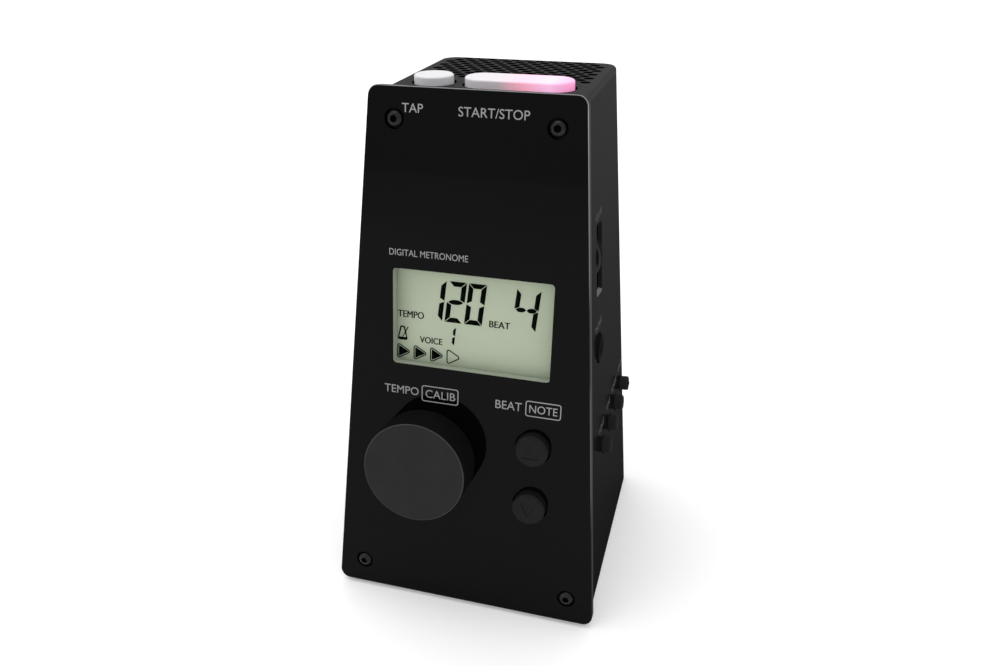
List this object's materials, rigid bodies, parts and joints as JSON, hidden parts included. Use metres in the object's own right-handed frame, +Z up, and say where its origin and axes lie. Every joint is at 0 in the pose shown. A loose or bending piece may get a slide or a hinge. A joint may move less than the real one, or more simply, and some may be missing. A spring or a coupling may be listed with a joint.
{
  "type": "digital metronome",
  "caption": "Small battery metronome in a tapered tower case, with a leaning gloss front, tempo dial, display, lit top button, side controls and a top speaker grille.",
  "frame": {"origin": "on the standing surface, under the middle of the overall box", "axes": "+Z up, -Y towards the front panel and its dial, +X to the right seen from the front"},
  "size_m": [0.0614, 0.0662, 0.1155],
  "materials": {
    "shell_plastic": "fine satin moulding, near black",
    "panel_acrylic": "polished black acrylic",
    "lens_acrylic": "clear polished acrylic",
    "display_glass": "grey green reflective display",
    "display_ink": "dark display segments",
    "label_ink": "grey printed legends",
    "knob_plastic": "satin moulded knob",
    "button_plastic": "satin moulded buttons",
    "white_plastic": "milky white translucent plastic",
    "lit_plastic": "milky plastic lit red from below at one end",
    "black_steel": "black oxide screws",
    "plated_steel": "plated steel",
    "magnet_steel": "plated magnet",
    "circuit_board": "green solder mask",
    "component_plastic": "black moulded component plastic",
    "speaker_paper": "pressed black paper",
    "cell_wrap": "plain printed cell wrap",
    "lamp_resin": "clear lamp resin",
    "wire_sleeve": "red wire insulation",
    "foot_rubber": "soft black rubber"
  },
  "bodies": {
    "case": {"accent_lamp": "lamp_resin", "battery_lead": "wire_sleeve", "battery_tray": "component_plastic", "beat_down_switch": "component_plastic", "beat_lamp": "lamp_resin", "beat_up_switch": "component_plastic", "board_screw_1": "plated_steel", "board_screw_2": "plated_steel", "board_screw_3": "plated_steel", "board_screw_4": "plated_steel", "cell_1": "cell_wrap", "cell_2": "cell_wrap", "cell_3": "cell_wrap", "cell_4": "cell_wrap", "contact_left": "plated_steel", "contact_right": "plated_steel", "display_frame": "component_plastic", "display_glass": "display_glass", "display_lens": "lens_acrylic", "display_reflector": "plated_steel", "encoder_body": "plated_steel", "foot_1": "foot_rubber", "foot_2": "foot_rubber", "foot_3": "foot_rubber", "foot_4": "foot_rubber", "front_panel": "panel_acrylic", "headphone_socket": "component_plastic", "main_board": "circuit_board", "memory_switch": "component_plastic", "panel_screw_1": "black_steel", "panel_screw_2": "black_steel", "panel_screw_3": "black_steel", "panel_screw_4": "black_steel", "power_switch": "component_plastic", "rear_shell": "shell_plastic", "side_board": "circuit_board", "speaker_basket": "plated_steel", "speaker_cone": "speaker_paper", "speaker_lead": "wire_sleeve", "speaker_magnet": "magnet_steel", "start_switch": "component_plastic", "tap_switch": "component_plastic", "tone_switch": "component_plastic", "top_board": "circuit_board", "voice_switch": "component_plastic", "volume_control": "component_plastic"},
    "dial": {"tempo_dial": "knob_plastic", "encoder_shaft": "plated_steel"},
    "volume": {"volume_wheel": "knob_plastic"},
    "tap": {"tap_button": "white_plastic"},
    "start": {"start_button": "lit_plastic"},
    "beat_up": {"beat_up_button": "button_plastic"},
    "beat_down": {"beat_down_button": "button_plastic"},
    "voice": {"voice_button": "button_plastic"},
    "tone": {"tone_button": "button_plastic"},
    "memory": {"memory_button": "button_plastic"},
    "power": {"power_button": "button_plastic"},
    "door": {"battery_door": "shell_plastic"}
  },
  "joints": [
    {"name": "dial_turn", "type": "hinge", "parent": "case", "child": "dial", "pos_m": [-0.009, -0.02295, 0.03671], "axis": [0, -0.9893, 0.1461], "continuous": true},
    {"name": "volume_turn", "type": "hinge", "parent": "case", "child": "volume", "pos_m": [0.01793, 0.00116, 0.07814], "axis": [0, -0.9893, 0.1461], "range_deg": [-140, 140]},
    {"name": "tap_press", "type": "slide", "parent": "case", "child": "tap", "axis": [0, 0, -1], "range_m": [0, 0.0008], "stiffness_N_per_m": 300, "springref_m": -0.001},
    {"name": "start_press", "type": "slide", "parent": "case", "child": "start", "axis": [0, 0, -1], "range_m": [0, 0.0008], "stiffness_N_per_m": 300, "springref_m": -0.001},
    {"name": "beat_up_press", "type": "slide", "parent": "case", "child": "beat_up", "axis": [0, 0.9893, -0.1461], "range_m": [0, 0.0005], "stiffness_N_per_m": 400, "springref_m": -0.001},
    {"name": "beat_down_press", "type": "slide", "parent": "case", "child": "beat_down", "axis": [0, 0.9893, -0.1461], "range_m": [0, 0.0005], "stiffness_N_per_m": 400, "springref_m": -0.001},
    {"name": "voice_press", "type": "slide", "parent": "case", "child": "voice", "axis": [-0.997, 0, -0.0771], "range_m": [0, 0.0006], "stiffness_N_per_m": 400, "springref_m": -0.001},
    {"name": "tone_press", "type": "slide", "parent": "case", "child": "tone", "axis": [-0.997, 0, -0.0771], "range_m": [0, 0.0006], "stiffness_N_per_m": 400, "springref_m": -0.001},
    {"name": "memory_press", "type": "slide", "parent": "case", "child": "memory", "axis": [-0.997, 0, -0.0771], "range_m": [0, 0.0006], "stiffness_N_per_m": 400, "springref_m": -0.001},
    {"name": "power_press", "type": "slide", "parent": "case", "child": "power", "axis": [-0.997, 0, -0.0771], "range_m": [0, 0.0006], "stiffness_N_per_m": 400, "springref_m": -0.001},
    {"name": "door_swing", "type": "hinge", "parent": "case", "child": "door", "pos_m": [0, 0.03308, 0.0045], "axis": [-1, 0, 0], "range_deg": [0, 80]}
  ]
}
